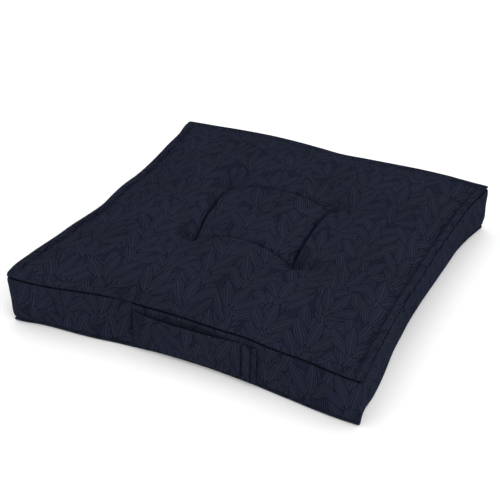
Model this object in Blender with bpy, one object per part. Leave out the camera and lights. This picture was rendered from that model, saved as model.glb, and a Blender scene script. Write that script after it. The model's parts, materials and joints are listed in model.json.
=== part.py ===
"""Square mattress cushion with a carry handle, in metres, +Z up, standing on the floor at the origin.

The cover is an upper and a lower panel and four boxing strips, sewn together at two edge rolls that
stand out as ears at the corners. Inside it are a foam core, two layers of wadding and a filler in each
edge roll. Four twine tufts run through everything and end in a knot under a button. A cloth strap on the
front boxing is the handle: its two tabs are sewn down, and its grip can be pulled out from the boxing.
"""

import math

import bmesh
import bpy
from mathutils import Matrix, Vector

# Overall shape
SIDE = 0.500  # from corner tip to corner tip, both ways
HALF = SIDE / 2
SEAM_HEIGHT = 0.071  # the upper panel's edge above the floor
CROWN = 0.017  # how far the middle of the upper panel would stand above its edge without tufts
CROWN_POWER = 3
UPPER_PULL = 0.016  # how far the middle of an upper edge lies inside the line between two corner tips
LOWER_PULL = 0.022
EAR_POWER = 5  # higher values make shorter ears at the corners

# Cloth and clearances
CLOTH = 0.0012
GAP = 0.0004  # between neighbouring solids
THREAD_RADIUS = 0.0005

# Edge rolls, as (distance in from the tip, height above or below the panel's edge)
UPPER_ROLL = ((0.0, 0.0), (0.006, 0.0032), (0.013, -0.0022), (0.028, 0.0015))
LOWER_EDGE_HEIGHT = 0.0022
LOWER_ROLL = ((0.0, 0.0), (0.006, -0.0022), (0.013, 0.0013), (0.028, -0.0022))
STITCH_LINE = 0.013  # distance in from the tip to the roll's stitched valley
FILLER_LINE = 0.0065  # distance in from the tip to the middle of a roll's filler
FILLER_RADIUS = 0.0016
UPPER_FILLER_HEIGHT = 0.0686
LOWER_FILLER_HEIGHT = 0.0043

# Boxing, as (height, how far its outer face lies inside the tip)
BOXING_PROFILE = (
    (LOWER_EDGE_HEIGHT + CLOTH + GAP, 0.0),
    (0.0095, 0.0030),
    (0.0220, 0.0026),
    (0.0345, 0.0032),
    (0.0470, 0.0040),
    (0.0600, 0.0052),
    (0.0650, 0.0065),
    (SEAM_HEIGHT - CLOTH - GAP, 0.0),
)
BOXING_INSET = 0.0045

# Tufts
TUFT_PLACE = 0.075  # from the middle to a tuft, along X and along Y
UPPER_TUFT_DEPTH = 0.0145
UPPER_TUFT_RADIUS = 0.065
UPPER_TUFT_POWER = 1.6
LOWER_TUFT_DEPTH = 0.0098
LOWER_TUFT_FLAT = 0.012
LOWER_TUFT_RADIUS = 0.055
TWINE_RADIUS = 0.0008
TWINE_STRAND = 0.0025  # from the tuft's middle to each of the twine's two strands
SLIT_CLEARANCE = 0.0008
BUTTON_RADIUS = 0.008
BUTTON_THICKNESS = 0.002
KNOT_RADIUS = 0.0019

# Filling
WADDING_GAP = 0.0010  # between the wadding and the cover
CORE_SIDE = 0.448  # the foam is a plain square block, so the cover's ears hold no foam
CORE_BOTTOM = 0.0135
CORE_TOP = 0.060

# Handle, along the front boxing from its middle
HANDLE_START, HANDLE_END = -0.067, 0.103
GRIP_START, GRIP_END = -0.026, 0.030
LEFT_TAB = 0.012
RIGHT_TAB = 0.020
STRAP = 0.0024
STRAP_LIFT = 0.0098  # the gap for fingers between the grip and the boxing
PLEAT = 0.0030  # the spare cloth folded into the right tab
STRAP_HEIGHTS = (0.0095, 0.0220, 0.0345, 0.0470, 0.0570)
BACKING = 0.0008

# Care label and closing seam
LABEL_MIDDLE = -0.120
LABEL_WIDTH = 0.032
LABEL_HEIGHTS = (0.0345, 0.0470, 0.0580)
LABEL = 0.0006
CLOSING_LENGTH = 0.220
CLOSING_HEIGHT = 0.0145

# Grid lines from the middle of a panel to its tip
PANEL_LINES = (0.0, 0.035, 0.060, 0.075, 0.090, 0.120, 0.155, 0.195, 0.222, 0.237, 0.244, 0.250)
WADDING_LINES = (0.0, 0.035, 0.060, 0.075, 0.090, 0.120, 0.155, 0.195, 0.222, 0.237, 0.241)
FILLER_LINES = (0.0, 0.090, 0.155, 0.195, 0.222, 0.237)
BOXING_LINES = (0.0, 0.045, 0.085, 0.120, 0.155, 0.195, 0.222, 0.237, 0.244, 0.250)

MITRE = 0.0003  # what a boxing strip stops short of the corner
QUARTERS = {"front": 0, "right": 1, "rear": 2, "left": 3}

COLOURS = {
    "cover_cloth": ((0.0160, 0.0194, 0.0331), 0.90),
    "thread": ((0.0080, 0.0095, 0.0160), 0.75),
    "foam": ((0.80, 0.70, 0.42), 0.95),
    "wadding": ((0.82, 0.82, 0.80), 0.98),
    "twine": ((0.0100, 0.0120, 0.0200), 0.80),
    "button": ((0.020, 0.021, 0.024), 0.45),
    "label": ((0.78, 0.77, 0.74), 0.70),
}


# ---------------------------------------------------------------- scene


def clear_scene():
    for obj in list(bpy.data.objects):
        bpy.data.objects.remove(obj, do_unlink=True)


def new_collection(name):
    collection = bpy.data.collections.new(name)
    bpy.context.scene.collection.children.link(collection)
    return collection


def make_materials():
    made = {}
    for name, (colour, roughness) in COLOURS.items():
        material = bpy.data.materials.new(name)
        material.use_nodes = True
        shader = material.node_tree.nodes["Principled BSDF"]
        shader.inputs["Base Color"].default_value = (*colour, 1.0)
        shader.inputs["Roughness"].default_value = roughness
        shader.inputs["Metallic"].default_value = 0.0
        made[name] = material
    return made


def add_object(name, data, material):
    obj = bpy.data.objects.new(name, data)
    PARTS.objects.link(obj)
    data.materials.clear()
    data.materials.append(MATERIALS[material])
    return obj


def finish_mesh(work, name):
    bmesh.ops.recalc_face_normals(work, faces=work.faces)
    if work.calc_volume(signed=True) < 0:
        bmesh.ops.reverse_faces(work, faces=work.faces)
    mesh = bpy.data.meshes.new(name)
    work.to_mesh(mesh)
    work.free()
    mesh.shade_smooth()
    mesh.set_sharp_from_angle(angle=math.radians(40))
    return mesh


# ---------------------------------------------------------------- shape of the cushion


def between(value, points):
    """The height of a line through (position, height) points at one position."""
    for (low, start), (high, end) in zip(points, points[1:]):
        if value <= high:
            return start + (end - start) * (value - low) / (high - low)
    return points[-1][1]


def mirrored(lines):
    return [-line for line in reversed(lines) if line] + list(lines)


def pulled(share, pull):
    """How far an edge lies inside the line between its corner tips, share being -1 to 1 along it."""
    return pull * (1 - abs(share) ** EAR_POWER)


def pull_at(height):
    return LOWER_PULL + (UPPER_PULL - LOWER_PULL) * height / SEAM_HEIGHT


def plan(across, along, pull):
    """Where a panel's grid point lies; across and along are distances on the square before it is pulled."""
    x = across * (1 - pulled(along / HALF, pull) / HALF)
    y = along * (1 - pulled(across / HALF, pull) / HALF)
    return x, y


def tuft_distance(across, along):
    return math.hypot(abs(across) - TUFT_PLACE, abs(along) - TUFT_PLACE)


def from_tip(across, along):
    return HALF - max(abs(across), abs(along))


def upper_outer(across, along):
    crown = (1 - abs(across / HALF) ** CROWN_POWER) * (1 - abs(along / HALF) ** CROWN_POWER)
    near = max(0.0, 1 - tuft_distance(across, along) / UPPER_TUFT_RADIUS)
    height = SEAM_HEIGHT + between(from_tip(across, along), UPPER_ROLL) + CROWN * crown
    height -= UPPER_TUFT_DEPTH * near**UPPER_TUFT_POWER
    return Vector((*plan(across, along, UPPER_PULL), height))


def lower_outer(across, along):
    far = (tuft_distance(across, along) - LOWER_TUFT_FLAT) / (LOWER_TUFT_RADIUS - LOWER_TUFT_FLAT)
    far = min(1.0, max(0.0, far))
    dimple = LOWER_TUFT_DEPTH * (1 - far * far * (3 - 2 * far))
    height = LOWER_EDGE_HEIGHT + between(from_tip(across, along), LOWER_ROLL) + dimple
    return Vector((*plan(across, along, LOWER_PULL), height))


def raised(surface, rise):
    return lambda across, along: surface(across, along) + Vector((0, 0, rise))


def level(height):
    """The flat surface at one height that has the cushion's plan there."""
    return lambda across, along: Vector((*plan(across, along, pull_at(height)), height))


def side_point(share, height, depth=0.0):
    """A point on the front side, depth metres inside the boxing's outer face; share is -1 to 1 along it."""
    reach = HALF - between(height, BOXING_PROFILE) - depth
    return Vector((share * reach, pulled(share, pull_at(height)) - reach, height))


def turned(surface, quarters):
    turn = Matrix.Rotation(quarters * math.pi / 2, 3, "Z")
    return lambda first, second: turn @ surface(first, second)


def side_layer(depth, quarters=0):
    return turned(lambda share, height: side_point(share, height, depth), quarters)


# ---------------------------------------------------------------- makers


def sheet(name, columns, rows, outer, inner, material):
    """One closed solid between two surfaces, each a function of a column's and a row's value."""
    work = bmesh.new()
    across, up = len(columns) - 1, len(rows) - 1
    bmesh.ops.create_grid(work, x_segments=across, y_segments=up, size=0.5)
    centres = [(face, face.calc_center_median()) for face in work.faces]
    for method, sign in (("FIXED", 1), ("ALTERNATE", -1)):
        faces = [face for face, centre in centres if sign * centre.x * centre.y >= 0]
        bmesh.ops.triangulate(work, faces=faces, quad_method=method)
    copied = bmesh.ops.duplicate(work, geom=work.verts[:] + work.edges[:] + work.faces[:])
    for item in copied["geom"]:
        if isinstance(item, bmesh.types.BMVert):
            item.co.z = 1.0
    bmesh.ops.bridge_loops(work, edges=[edge for edge in work.edges if edge.is_boundary])
    for vert in work.verts:
        column = columns[round((vert.co.x + 0.5) * across)]
        row = rows[round((vert.co.y + 0.5) * up)]
        vert.co = (inner if vert.co.z > 0.5 else outer)(column, row)
    return add_object(name, finish_mesh(work, name), material)


def tube(name, points, radius, material, closed=False, resolution=0):
    curve = bpy.data.curves.new(name, "CURVE")
    curve.dimensions = "3D"
    curve.bevel_depth = radius
    curve.bevel_resolution = resolution
    curve.use_fill_caps = True
    spline = curve.splines.new("POLY")
    spline.points.add(len(points) - 1)
    for target, point in zip(spline.points, points):
        target.co = (*point, 1.0)
    spline.use_cyclic_u = closed
    return add_object(name, curve, material)


def as_mesh(obj):
    """The same object as a mesh, so that a Boolean can join it."""
    evaluated = obj.evaluated_get(bpy.context.evaluated_depsgraph_get())
    mesh = bpy.data.meshes.new_from_object(evaluated)
    work = bmesh.new()
    work.from_mesh(mesh)
    bmesh.ops.remove_doubles(work, verts=work.verts, dist=1e-6)
    work.to_mesh(mesh)
    work.free()
    name, place, material = obj.name, obj.matrix_world.copy(), obj.data.materials[0].name
    bpy.data.objects.remove(obj, do_unlink=True)
    made = add_object(name, mesh, material)
    made.matrix_world = place
    return made


def add_boolean(obj, tool, operation):
    modifier = obj.modifiers.new(tool.name, "BOOLEAN")
    modifier.operation = operation
    modifier.object = tool


def make_tool(name, mesh):
    """A cutter, or a shape that a Boolean joins to a piece: it is in its own collection and isn't a part."""
    tool = bpy.data.objects.new(name, mesh)
    TOOLS.objects.link(tool)
    tool.hide_render = True
    tool.display_type = "WIRE"
    return tool


# ---------------------------------------------------------------- cover


def tuft_places():
    return [(sx * TUFT_PLACE, sy * TUFT_PLACE) for sy in (-1, 1) for sx in (-1, 1)]


def make_tuft_slits():
    """Four upright slits for the twine's two strands, long enough to pass through the whole cushion."""
    work = bmesh.new()
    radius = TWINE_RADIUS + SLIT_CLEARANCE
    stretch = Matrix.Diagonal((1 + TWINE_STRAND / radius, 1, 1, 1))
    for across, along in tuft_places():
        x, y = plan(across, along, UPPER_PULL)
        bmesh.ops.create_cone(
            work,
            cap_ends=True,
            segments=10,
            radius1=radius,
            radius2=radius,
            depth=3 * SEAM_HEIGHT,
            matrix=Matrix.Translation((x, y, SEAM_HEIGHT / 2)) @ stretch,
        )
    return make_tool("tuft_slits", finish_mesh(work, "tuft_slits"))


def make_panels(slits):
    lines = mirrored(PANEL_LINES)
    upper = sheet("top_panel", lines, lines, upper_outer, raised(upper_outer, -CLOTH), "cover_cloth")
    lower = sheet("bottom_panel", lines, lines, lower_outer, raised(lower_outer, CLOTH), "cover_cloth")
    add_boolean(upper, slits, "DIFFERENCE")
    add_boolean(lower, slits, "DIFFERENCE")


def make_boxing():
    shares = [line / HALF * (1 - MITRE / HALF) for line in mirrored(BOXING_LINES)]
    heights = [height for height, _ in BOXING_PROFILE]
    for side, quarters in QUARTERS.items():
        outer, inner = side_layer(0.0, quarters), side_layer(CLOTH, quarters)
        sheet(f"{side}_boxing", shares, heights, outer, inner, "cover_cloth")


def edge_ring(surface, line, lines=PANEL_LINES):
    """Points all round a panel at one distance in from its tip, one at each grid line."""
    reach = HALF - line
    steps = [step for step in mirrored(lines) if abs(step) < reach]
    front = [(-reach, -reach)] + [(step, -reach) for step in steps]
    ring = []
    for quarters in range(4):
        turn = Matrix.Rotation(quarters * math.pi / 2, 2)
        ring += [surface(*(turn @ Vector(point))) for point in front]
    return ring


def make_edge_rolls():
    """The stitching in each roll's valley, and the filler that keeps the roll full."""
    above = raised(upper_outer, THREAD_RADIUS + GAP)
    below = raised(lower_outer, -THREAD_RADIUS - GAP)
    upper_line, lower_line = edge_ring(above, STITCH_LINE), edge_ring(below, STITCH_LINE)
    tube("top_edge_stitching", upper_line, THREAD_RADIUS, "thread", closed=True)
    tube("bottom_edge_stitching", lower_line, THREAD_RADIUS, "thread", closed=True)
    for name, height, pull in (
        ("top_edge_filler", UPPER_FILLER_HEIGHT, UPPER_PULL),
        ("bottom_edge_filler", LOWER_FILLER_HEIGHT, LOWER_PULL),
    ):
        middle = lambda a, b, z=height, p=pull: Vector((*plan(a, b, p), z))
        tube(name, edge_ring(middle, FILLER_LINE, FILLER_LINES), FILLER_RADIUS, "wadding", closed=True)


# ---------------------------------------------------------------- filling


def make_filling(slits):
    below_cover = raised(upper_outer, -CLOTH - WADDING_GAP)
    above_cover = raised(lower_outer, CLOTH + WADDING_GAP)
    lines = mirrored(WADDING_LINES)
    upper = sheet("top_wadding", lines, lines, below_cover, level(CORE_TOP + GAP), "wadding")
    lower = sheet("bottom_wadding", lines, lines, level(CORE_BOTTOM - GAP), above_cover, "wadding")
    work = bmesh.new()
    size = Matrix.Diagonal((CORE_SIDE, CORE_SIDE, CORE_TOP - CORE_BOTTOM, 1))
    middle = Matrix.Translation((0, 0, (CORE_TOP + CORE_BOTTOM) / 2))
    bmesh.ops.create_cube(work, size=1, matrix=middle @ size)
    core = add_object("foam_core", finish_mesh(work, "foam_core"), "foam")
    for layer in (upper, lower, core):
        add_boolean(layer, slits, "DIFFERENCE")


# ---------------------------------------------------------------- tufts


def ring_points(radius, segments, middle=0.0):
    turns = [2 * math.pi * step / segments for step in range(segments)]
    return [(middle + radius * math.cos(turn), radius * math.sin(turn)) for turn in turns]


def button_outline():
    """A disc with two holes, as a flat filled curve."""
    curve = bpy.data.curves.new("tuft_button", "CURVE")
    curve.dimensions = "2D"
    curve.fill_mode = "BOTH"
    curve.extrude = BUTTON_THICKNESS / 2
    hole = TWINE_RADIUS + GAP
    rings = [ring_points(BUTTON_RADIUS, 20)]
    rings += [ring_points(hole, 6, middle) for middle in (-TWINE_STRAND, TWINE_STRAND)]
    for ring in rings:
        spline = curve.splines.new("POLY")
        spline.points.add(len(ring) - 1)
        for target, (x, y) in zip(spline.points, ring):
            target.co = (x, y, 0.0, 1.0)
        spline.use_cyclic_u = True
    return curve


def twine_loop(high, low):
    """The twine's closed loop: up one strand, over the cloth, down the other and into the knot."""
    bend = TWINE_RADIUS
    right = [
        (0.0, low),
        (TWINE_STRAND, low + bend),
        (TWINE_STRAND, high - bend),
        (TWINE_STRAND - bend, high),
    ]
    left = [(-x, z) for x, z in reversed(right[1:])]
    return [Vector((x, 0.0, z)) for x, z in right + left]


def make_tufts():
    cloth_above = upper_outer(TUFT_PLACE, TUFT_PLACE).z
    cloth_below = lower_outer(TUFT_PLACE, TUFT_PLACE).z
    slope = UPPER_TUFT_POWER * UPPER_TUFT_DEPTH / UPPER_TUFT_RADIUS
    crossing = cloth_above + slope * (TWINE_STRAND + TWINE_RADIUS) + TWINE_RADIUS + GAP
    button_middle = cloth_below - 2 * GAP - BUTTON_THICKNESS / 2
    knot = button_middle - BUTTON_THICKNESS / 2 - GAP - KNOT_RADIUS
    outline = button_outline()
    for number, (across, along) in enumerate(tuft_places(), start=1):
        x, y = plan(across, along, UPPER_PULL)
        button = add_object(f"tuft_button_{number}", outline, "button")
        button.location = (x, y, button_middle)
        loop = twine_loop(crossing, knot)
        twine = tube(f"tuft_twine_{number}", loop, TWINE_RADIUS, "twine", closed=True, resolution=1)
        twine.location = (x, y, 0.0)
        bpy.context.view_layer.update()
        twine = as_mesh(twine)
        work = bmesh.new()
        place = Matrix.Translation((x, y, knot))
        bmesh.ops.create_uvsphere(work, u_segments=8, v_segments=6, radius=KNOT_RADIUS, matrix=place)
        tool_name = f"tuft_knot_{number}"
        add_boolean(twine, make_tool(tool_name, finish_mesh(work, tool_name)), "UNION")


# ---------------------------------------------------------------- handle


def share_of(x):
    """The share along the front side that lies x metres right of its middle, on the boxing's face."""
    return x / (HALF - BOXING_INSET)


def spread(start, end, count):
    return [share_of(start + (end - start) * step / (count - 1)) for step in range(count)]


def smooth(value):
    value = min(1.0, max(0.0, value))
    return value * value * (3 - 2 * value)


def strap_lift(share):
    """How far the strap stands off the boxing: nothing at its tabs and STRAP_LIFT at its grip."""
    x = share * (HALF - BOXING_INSET)
    left_run, right_run = HANDLE_START + LEFT_TAB, HANDLE_END - RIGHT_TAB
    rise = smooth((x - left_run) / (GRIP_START - left_run))
    fall = smooth((right_run - x) / (right_run - GRIP_END))
    return STRAP_LIFT * rise * fall


def strap_piece(name, start, end, columns, thickness=lambda share: STRAP):
    outer = lambda share, z: side_point(share, z, -GAP - strap_lift(share) - thickness(share))
    inner = lambda share, z: side_point(share, z, -GAP - strap_lift(share))
    sheet(name, spread(start, end, columns), STRAP_HEIGHTS, outer, inner, "cover_cloth")


def stitched_box(name, start, end, depth):
    """A closed line of stitches on a tab, depth metres outside the boxing's face."""
    low, *middle, high = STRAP_HEIGHTS
    margin = 0.003
    heights = [low + margin, *middle, high - margin]
    left, right = share_of(start + margin), share_of(end - margin)
    points = [side_point(left, height, -depth) for height in heights]
    points += [side_point(right, height, -depth) for height in reversed(heights)]
    tube(name, points, THREAD_RADIUS, "thread", closed=True)


def make_handle():
    left_run, right_run = HANDLE_START + LEFT_TAB, HANDLE_END - RIGHT_TAB
    pleat_end = share_of(right_run + PLEAT)
    folded = lambda share: STRAP + PLEAT * (1 - smooth((share - pleat_end) / share_of(PLEAT)))
    strap_piece("handle_left_tab", HANDLE_START, left_run, 3)
    strap_piece("handle_left_run", left_run + GAP, GRIP_START - GAP, 7)
    strap_piece("handle_grip", GRIP_START, GRIP_END, 5)
    strap_piece("handle_right_run", GRIP_END + GAP, right_run - GAP, 9)
    strap_piece("handle_right_tab", right_run, HANDLE_END, 9, folded)
    outside = GAP + STRAP + GAP + THREAD_RADIUS
    stitched_box("handle_left_stitching", HANDLE_START, left_run, outside)
    stitched_box("handle_right_stitching", right_run + 2 * PLEAT, HANDLE_END, outside)
    for name, start, end in (("left", HANDLE_START, left_run), ("right", right_run, HANDLE_END)):
        near, far = side_layer(CLOTH + GAP), side_layer(CLOTH + GAP + BACKING)
        columns = spread(start, end, 3)
        sheet(f"handle_{name}_backing", columns, STRAP_HEIGHTS[1:4], near, far, "cover_cloth")


# ---------------------------------------------------------------- rear


def make_rear_details():
    """The hand-sewn line that closes the filling opening, and the blank care label."""
    rear = QUARTERS["rear"]
    thread = side_layer(-GAP - THREAD_RADIUS, rear)
    half = CLOSING_LENGTH / 2
    line = [thread(share, CLOSING_HEIGHT) for share in spread(-half, half, 9)]
    tube("closing_stitching", line, THREAD_RADIUS, "thread")
    columns = spread(LABEL_MIDDLE - LABEL_WIDTH / 2, LABEL_MIDDLE + LABEL_WIDTH / 2, 3)
    outer, inner = side_layer(-GAP - LABEL, rear), side_layer(-GAP, rear)
    sheet("care_label", columns, LABEL_HEIGHTS, outer, inner, "label")


clear_scene()
PARTS = new_collection("seat_cushion")
TOOLS = new_collection("cutters")
MATERIALS = make_materials()
tuft_slits = make_tuft_slits()
make_panels(tuft_slits)
make_boxing()
make_edge_rolls()
make_filling(tuft_slits)
make_tufts()
make_handle()
make_rear_details()
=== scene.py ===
import json
import math

import bpy
import numpy as np
from mathutils import Matrix, Vector


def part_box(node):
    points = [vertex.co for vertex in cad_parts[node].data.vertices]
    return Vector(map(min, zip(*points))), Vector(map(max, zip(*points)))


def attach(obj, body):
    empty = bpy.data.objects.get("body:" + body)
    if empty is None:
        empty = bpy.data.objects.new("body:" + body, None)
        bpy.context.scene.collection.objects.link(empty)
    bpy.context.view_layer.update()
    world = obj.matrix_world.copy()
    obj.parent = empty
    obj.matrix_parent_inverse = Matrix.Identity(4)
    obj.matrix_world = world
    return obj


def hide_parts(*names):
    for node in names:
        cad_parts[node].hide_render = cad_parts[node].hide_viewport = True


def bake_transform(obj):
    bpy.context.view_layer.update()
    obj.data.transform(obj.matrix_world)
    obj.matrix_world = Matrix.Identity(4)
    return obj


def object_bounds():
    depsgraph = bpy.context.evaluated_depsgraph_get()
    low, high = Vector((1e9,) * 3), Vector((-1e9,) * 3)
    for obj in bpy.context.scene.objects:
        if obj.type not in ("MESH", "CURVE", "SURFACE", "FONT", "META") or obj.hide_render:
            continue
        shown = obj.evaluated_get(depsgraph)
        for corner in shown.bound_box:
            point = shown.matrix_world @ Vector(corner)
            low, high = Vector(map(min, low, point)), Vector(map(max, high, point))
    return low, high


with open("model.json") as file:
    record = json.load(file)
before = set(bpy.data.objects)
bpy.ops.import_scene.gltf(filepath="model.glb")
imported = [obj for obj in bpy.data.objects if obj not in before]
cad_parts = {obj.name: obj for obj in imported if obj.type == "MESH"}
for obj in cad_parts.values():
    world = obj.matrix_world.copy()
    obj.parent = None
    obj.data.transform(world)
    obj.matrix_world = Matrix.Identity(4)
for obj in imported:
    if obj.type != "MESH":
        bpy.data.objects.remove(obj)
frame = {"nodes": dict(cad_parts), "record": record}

CAD_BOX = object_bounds()
HALF = CAD_BOX[1].x
SIDES = {"front": 0, "right": 1, "rear": 2, "left": 3}

# Heights that the CAD frame gives
TOP_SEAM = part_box("front_boxing")[1].z
CORE_BOTTOM, CORE_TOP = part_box("foam_core")[0].z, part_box("foam_core")[1].z
GAP = 0.0004
CLOTH = 0.0012

# Plan of the CAD frame, which the tufts keep to
TUFT_PLACE = 0.075
CAD_UPPER_PULL = 0.016
CAD_LOWER_PULL = 0.022
CAD_EAR_POWER = 5
CORNER_RADIUS = 0.004
NEAR_BOW, FAR_BOW, BOW_REACH = 0.0115, 0.0045, 0.045

# How far each edge is drawn in from the square, in mm, at shares of its length from -1 to 1. Most values were
# read off the photo's outline through the fitted camera, then rounded and adjusted. The front runs
# left to right, the right side front to rear, the rear right to left, the left side rear to front.
UPPER_PULLS = {
    "front": (
        (-1, -3), (-0.9, -2.2), (-0.78, 1.4), (-0.65, 7.6), (-0.52, 15), (-0.39, 18.8), (-0.25, 19.6),
        (-0.1, 20), (0.05, 19.4), (0.2, 17.6), (0.36, 17), (0.46, 13), (0.58, 9.6), (0.7, 7.4), (0.78, 4),
        (0.85, 1.2), (0.93, -1.2), (1, -1.8),
    ),
    "right": (
        (-1, -0.5), (-0.88, 2), (-0.72, 5.6), (-0.6, 7), (-0.45, 8.6), (-0.26, 9.6), (-0.06, 9.6),
        (0.16, 10.3), (0.3, 9.8), (0.45, 9), (0.6, 7.6), (0.75, 5), (0.89, 0.6), (1, -3.5),
    ),
    "rear": (
        (-1, -6.5), (-0.9, -4), (-0.75, -3.6), (-0.6, -2.2), (-0.4, 1.5), (-0.25, 4), (-0.08, 6.5),
        (0.05, 3), (0.2, -0.5), (0.4, -2.5), (0.6, -1), (0.8, 1), (1, -1),
    ),
    "left": (
        (-1, -1), (-0.95, -1), (-0.81, 5), (-0.66, 7), (-0.51, 10), (-0.38, 12), (-0.24, 12.4),
        (-0.09, 9.4), (0.03, 10.2), (0.16, 12.2), (0.29, 8.6), (0.42, 3.4), (0.55, 0.5), (0.67, -2.4),
        (0.79, -4.6), (0.9, -6.8), (1, -4.4),
    ),
}
LOWER_PULLS = {
    "front": (
        (-1, -5), (-0.92, -2.8), (-0.85, 0.8), (-0.74, 3.2), (-0.63, 4.4), (-0.5, 7), (-0.4, 10.4),
        (-0.28, 13), (-0.15, 16), (0, 17), (0.15, 16.4), (0.3, 14), (0.42, 11.4), (0.55, 7.4), (0.65, 4.4),
        (0.76, 1), (0.88, -1.5), (1, -2),
    ),
    "right": (
        (-1, -0.5), (-0.94, 3), (-0.88, 5), (-0.8, 4.2), (-0.7, 5), (-0.6, 7.2), (-0.5, 10), (-0.4, 13),
        (-0.28, 14.6), (-0.1, 16.6), (0.1, 16.3), (0.3, 14.8), (0.5, 13.2), (0.7, 11.2), (0.83, 6.5),
        (0.93, 1), (1, -3),
    ),
    "rear": ((-1, -0.5), (-0.8, 6), (-0.5, 12), (0, 15), (0.5, 12.5), (0.8, 7), (1, 2)),
    "left": ((-1, 2), (-0.8, 8), (-0.4, 14), (0, 16), (0.4, 14), (0.8, 7), (0.92, 3.4), (1, 1)),
}
# How much higher than elsewhere the upper edge stands along the rear and at the front left corner
REAR_LIFT, CORNER_LIFT = 0.0065, 0.0030
CORNER_PUFF = 0.0045  # how much thicker the edge roll is at the front left corner
# How far the twine draws each tuft away from its place in the CAD frame, in mm, read off the photo likewise
TUFT_SHIFTS = {(-1, -1): (1.9, -1.6), (1, -1): (8.6, -4.6), (1, 1): (2.0, 8.8), (-1, 1): (-15.8, 3.2)}

# The edges of the two panels, as (distance in from the tip along the cloth, height). The distance is
# negative under the tip.
VALLEY = 0.01346  # distance in from the tip to the stitched valley
UPPER_ROLL = (
    (-0.0095, -0.0019), (-0.0070, -0.0021), (-0.0045, -0.0021), (-0.0025, -0.0019), (-0.0012, -0.0015),
    (-0.0004, -0.0009), (0.0, -0.0002), (0.0005, 0.0004), (0.0012, 0.0009), (0.0019, 0.0010),
    (0.0027, 0.0007), (0.0035, 0.0004), (0.0046, 0.0005), (0.0060, 0.0008), (0.0076, 0.0010),
    (0.0092, 0.0011), (0.0106, 0.0012), (0.0120, 0.0012), (VALLEY, 0.0012),
)
LOWER_ROLL = (
    (-0.0050, 0.0054), (-0.0034, 0.0054), (-0.0020, 0.0050), (-0.0009, 0.0043), (-0.0002, 0.0035),
    (0.0, 0.0029), (0.0005, 0.0018), (0.0014, 0.0009), (0.0028, 0.0003), (0.0045, 0.0001), (0.0070, 0.0004),
    (0.0095, 0.0014), (0.0112, 0.0026), (VALLEY, 0.0035),
)


# ---- numbers


def waves(x, seed, longest, shortest, count=5):
    """A smooth, uneven line between about -1 and 1, the same each run."""
    chance = np.random.default_rng(seed)
    lengths = np.geomspace(longest, shortest, count) * chance.uniform(0.85, 1.15, count)
    shifts = chance.uniform(0, 2 * math.pi, count)
    total = sum(np.sin(2 * math.pi * x / length + shift) for length, shift in zip(lengths, shifts))
    return total / math.sqrt(2 * count)


def lumps(x, y, seed, longest, shortest):
    """The same over a surface."""
    count = 9
    chance = np.random.default_rng(seed)
    lengths = np.geomspace(longest, shortest, count)
    turns, shifts = chance.uniform(0, math.pi, count), chance.uniform(0, 2 * math.pi, count)
    total = 0.0
    for length, turn, shift in zip(lengths, turns, shifts):
        total = total + np.sin(2 * math.pi * (x * math.cos(turn) + y * math.sin(turn)) / length + shift)
    return total / math.sqrt(2 * count)


def ease(value):
    value = np.clip(value, 0.0, 1.0)
    return value * value * (3 - 2 * value)


def bump(value, middle, half_width):
    """1 at the middle, 0 from half_width away on."""
    return ease(1 - np.abs(value - middle) / half_width)


def curve_at(value, points):
    return np.interp(value, [p[0] for p in points], [p[1] for p in points])


def flowing(value, points):
    """The same, but as a smooth line through the points."""
    at, height = np.array(points, float).T
    slope = np.gradient(height, at)
    i = np.clip(np.searchsorted(at, value, side="right") - 1, 0, len(at) - 2)
    gap = at[i + 1] - at[i]
    t = np.clip((value - at[i]) / gap, 0, 1)
    ends = (1 + 2 * t) * (1 - t) ** 2 * height[i] + t * t * (3 - 2 * t) * height[i + 1]
    return ends + t * (1 - t) * gap * ((1 - t) * slope[i] - t * slope[i + 1])


# ---- plan of the cushion


def drawn_in(pulls, side, share):
    return flowing(share, pulls[side]) / 1000


def cad_pull(share, pull):
    return pull * (1 - np.abs(share) ** CAD_EAR_POWER)


def rounded(a, b):
    """Rounds the square's corners, so that lines that follow its outline turn on arcs there."""
    start = HALF - CORNER_RADIUS
    qa = np.clip((np.abs(a) - start) / CORNER_RADIUS, 0, 1)
    qb = np.clip((np.abs(b) - start) / CORNER_RADIUS, 0, 1)
    both = (qa > 0) & (qb > 0)
    ra = np.where(both, np.sign(a) * (start + CORNER_RADIUS * qa * np.sqrt(1 - qb**2 / 2)), a)
    rb = np.where(both, np.sign(b) * (start + CORNER_RADIUS * qb * np.sqrt(1 - qa**2 / 2)), b)
    return ra, rb


def plan(a, b, pulls, cad):
    """Where a point of the square pattern lies: as in the CAD at the tufts, as drawn in at the edges."""
    a, b = rounded(a, b)
    out = []
    for along, across, low, high, turn in ((a, b, "left", "right", 1), (b, a, "front", "rear", -1)):
        share = across / HALF
        even = cad_pull(share, cad)
        edge = np.where(along > 0, drawn_in(pulls, high, turn * share), drawn_in(pulls, low, -turn * share))
        outer = ease((np.abs(along) - TUFT_PLACE) / (HALF - TUFT_PLACE))
        out.append(along * (1 - even / HALF) - np.sign(along) * outer * (edge - even))
    return out


def upper_plan(a, b):
    x, y = plan(a, b, UPPER_PULLS, CAD_UPPER_PULL)
    fade = ease((HALF - 0.03 - np.maximum(np.abs(a), np.abs(b))) / 0.14)
    for (right, rear), (shift_x, shift_y) in TUFT_SHIFTS.items():
        share_x = np.clip(0.5 + right * 0.5 * a / TUFT_PLACE, 0, 1)
        share_y = np.clip(0.5 + rear * 0.5 * b / TUFT_PLACE, 0, 1)
        x = x + 0.001 * shift_x * share_x * share_y * fade
        y = y + 0.001 * shift_y * share_x * share_y * fade
    return x, y + bowed(a, b)


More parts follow.
